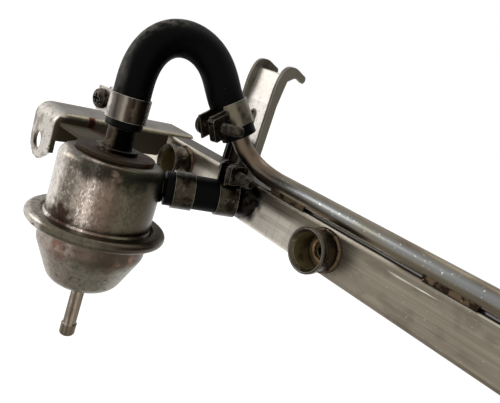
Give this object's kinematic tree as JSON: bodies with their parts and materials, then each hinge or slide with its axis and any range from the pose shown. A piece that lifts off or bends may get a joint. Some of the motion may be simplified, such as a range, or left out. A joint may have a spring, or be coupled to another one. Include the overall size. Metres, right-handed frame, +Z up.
{
  "type": "fuel rail",
  "caption": "Rectangular steel fuel rail with injector cups, a diaphragm pressure regulator on a folded bracket, a U-shaped return hose, a return pipe and an upright hanger bracket.",
  "frame": {"origin": "where the axis of the second injector cup meets the rail's front face", "axes": "+X along the rail away from the regulator, -Y the way the injector cups point, +Z up"},
  "size_m": [0.411, 0.119, 0.1434],
  "materials": {
    "rail_steel": "satin, lengthwise brushed",
    "cup_steel": "turned",
    "pipe_steel": "drawn tube",
    "bracket_steel": "pressed sheet",
    "regulator_plating": "mottled plating",
    "rusty_steel": "rusted",
    "hose_rubber": "matte",
    "clamp_band": "bright plated",
    "dark_zinc": "blackened"
  },
  "bodies": {
    "rail": {"rail_tube": "rail_steel", "rail_end_cap_left": "rail_steel", "rail_end_cap_right": "rail_steel", "supply_stub": "pipe_steel", "return_pipe": "pipe_steel", "regulator_bracket": "bracket_steel", "hanger_bracket": "bracket_steel", "mounting_tab_right": "bracket_steel", "regulator_can": "regulator_plating", "regulator_bowl": "regulator_plating", "vacuum_nipple": "pipe_steel", "regulator_neck": "rusty_steel", "neck_collar": "rusty_steel", "regulator_diaphragm": "hose_rubber", "regulator_spring": "pipe_steel", "inlet_port": "pipe_steel", "rail_stub": "pipe_steel", "inlet_hose": "hose_rubber", "return_hose": "hose_rubber", "injector_cup_1": "cup_steel", "injector_cup_2": "cup_steel", "injector_cup_3": "cup_steel", "injector_cup_4": "cup_steel", "pipe_saddle_1": "pipe_steel", "pipe_saddle_2": "pipe_steel", "pipe_saddle_3": "pipe_steel", "pipe_saddle_4": "pipe_steel", "clamp_band_neck": "clamp_band", "clamp_screw_neck": "dark_zinc", "clamp_nut_neck": "dark_zinc", "clamp_band_pipe": "clamp_band", "clamp_screw_pipe": "dark_zinc", "clamp_nut_pipe": "dark_zinc", "clamp_band_port": "clamp_band", "clamp_screw_port": "dark_zinc", "clamp_nut_port": "dark_zinc", "clamp_band_stub": "clamp_band", "clamp_screw_stub": "dark_zinc", "clamp_nut_stub": "dark_zinc"},
    "valve": {"valve_plate": "pipe_steel", "diaphragm_backing": "pipe_steel", "spring_seat": "pipe_steel"}
  },
  "joints": [
    {"name": "valve_lift", "type": "slide", "parent": "rail", "child": "valve", "axis": [0.0253, -0.0331, -0.9991], "range_m": [0, 0.0006], "stiffness_N_per_m": 1500, "deforming": ["regulator_spring", "regulator_diaphragm"]}
  ]
}
